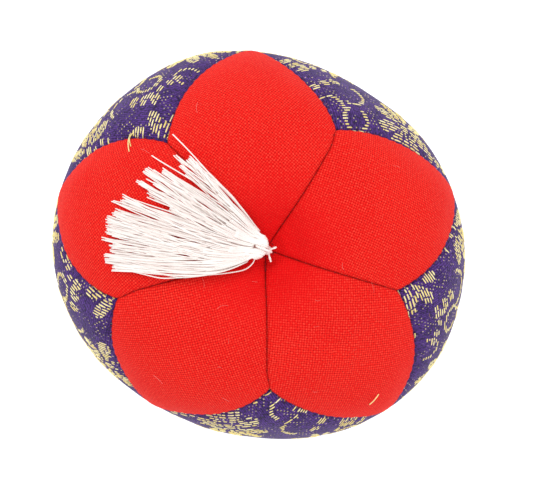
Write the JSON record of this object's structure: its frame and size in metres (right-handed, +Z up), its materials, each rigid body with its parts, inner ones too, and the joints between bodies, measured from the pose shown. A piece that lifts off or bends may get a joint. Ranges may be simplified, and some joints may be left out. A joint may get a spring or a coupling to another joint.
{
  "type": "pin cushion",
  "caption": "Round stuffed cushion for pins: plain cloth petals over patterned gores, gathered to a tufted dimple with a folded thread tassel that swivels and lifts.",
  "frame": {"origin": "centre of the flat base, on the surface the cushion rests on", "axes": "+Z up through the top dimple, the tassel lies towards -X"},
  "size_m": [0.076, 0.076, 0.0473],
  "materials": {
    "petal_cloth": "plain-woven cotton, matt, vivid red",
    "gore_brocade": "fine ribbed brocade, violet-blue ground with raised pale gold floats",
    "petal_thread": "dark red sewing thread",
    "gore_thread": "dark blue sewing thread",
    "tuft_thread": "strong dark thread, doubled",
    "stuffing": "packed off-white fibre",
    "tassel_thread": "soft white yarn, slightly warm"
  },
  "bodies": {
    "cushion": {"petal_1": "petal_cloth", "petal_2": "petal_cloth", "petal_3": "petal_cloth", "petal_4": "petal_cloth", "petal_5": "petal_cloth", "gore_1": "gore_brocade", "gore_2": "gore_brocade", "gore_3": "gore_brocade", "gore_4": "gore_brocade", "gore_5": "gore_brocade", "petal_seam_1": "petal_thread", "petal_seam_2": "petal_thread", "petal_seam_3": "petal_thread", "petal_seam_4": "petal_thread", "petal_seam_5": "petal_thread", "scallop_seam_1": "petal_thread", "scallop_seam_2": "petal_thread", "scallop_seam_3": "petal_thread", "scallop_seam_4": "petal_thread", "scallop_seam_5": "petal_thread", "gore_seam_1": "gore_thread", "gore_seam_2": "gore_thread", "gore_seam_3": "gore_thread", "gore_seam_4": "gore_thread", "gore_seam_5": "gore_thread", "closing_stitches": "gore_thread", "stuffing": "stuffing", "tuft_thread": "tuft_thread", "gather_thread": "petal_thread"},
    "tie": {"tassel_tie": "tassel_thread"},
    "tassel": {"tassel_fold": "tassel_thread", "tassel_lock_1": "tassel_thread", "tassel_lock_2": "tassel_thread", "tassel_lock_3": "tassel_thread", "tassel_lock_4": "tassel_thread", "tassel_lock_5": "tassel_thread"}
  },
  "joints": [
    {"name": "tassel_swivel", "type": "hinge", "parent": "cushion", "child": "tie", "pos_m": [0, 0, 0.04], "axis": [0, 0, 1], "range_deg": [-180, 180]},
    {"name": "tassel_lift", "type": "hinge", "parent": "tie", "child": "tassel", "pos_m": [-0.00083, 0.00034, 0.0433], "axis": [0.3746, 0.9272, 0], "range_deg": [0, 90]}
  ]
}
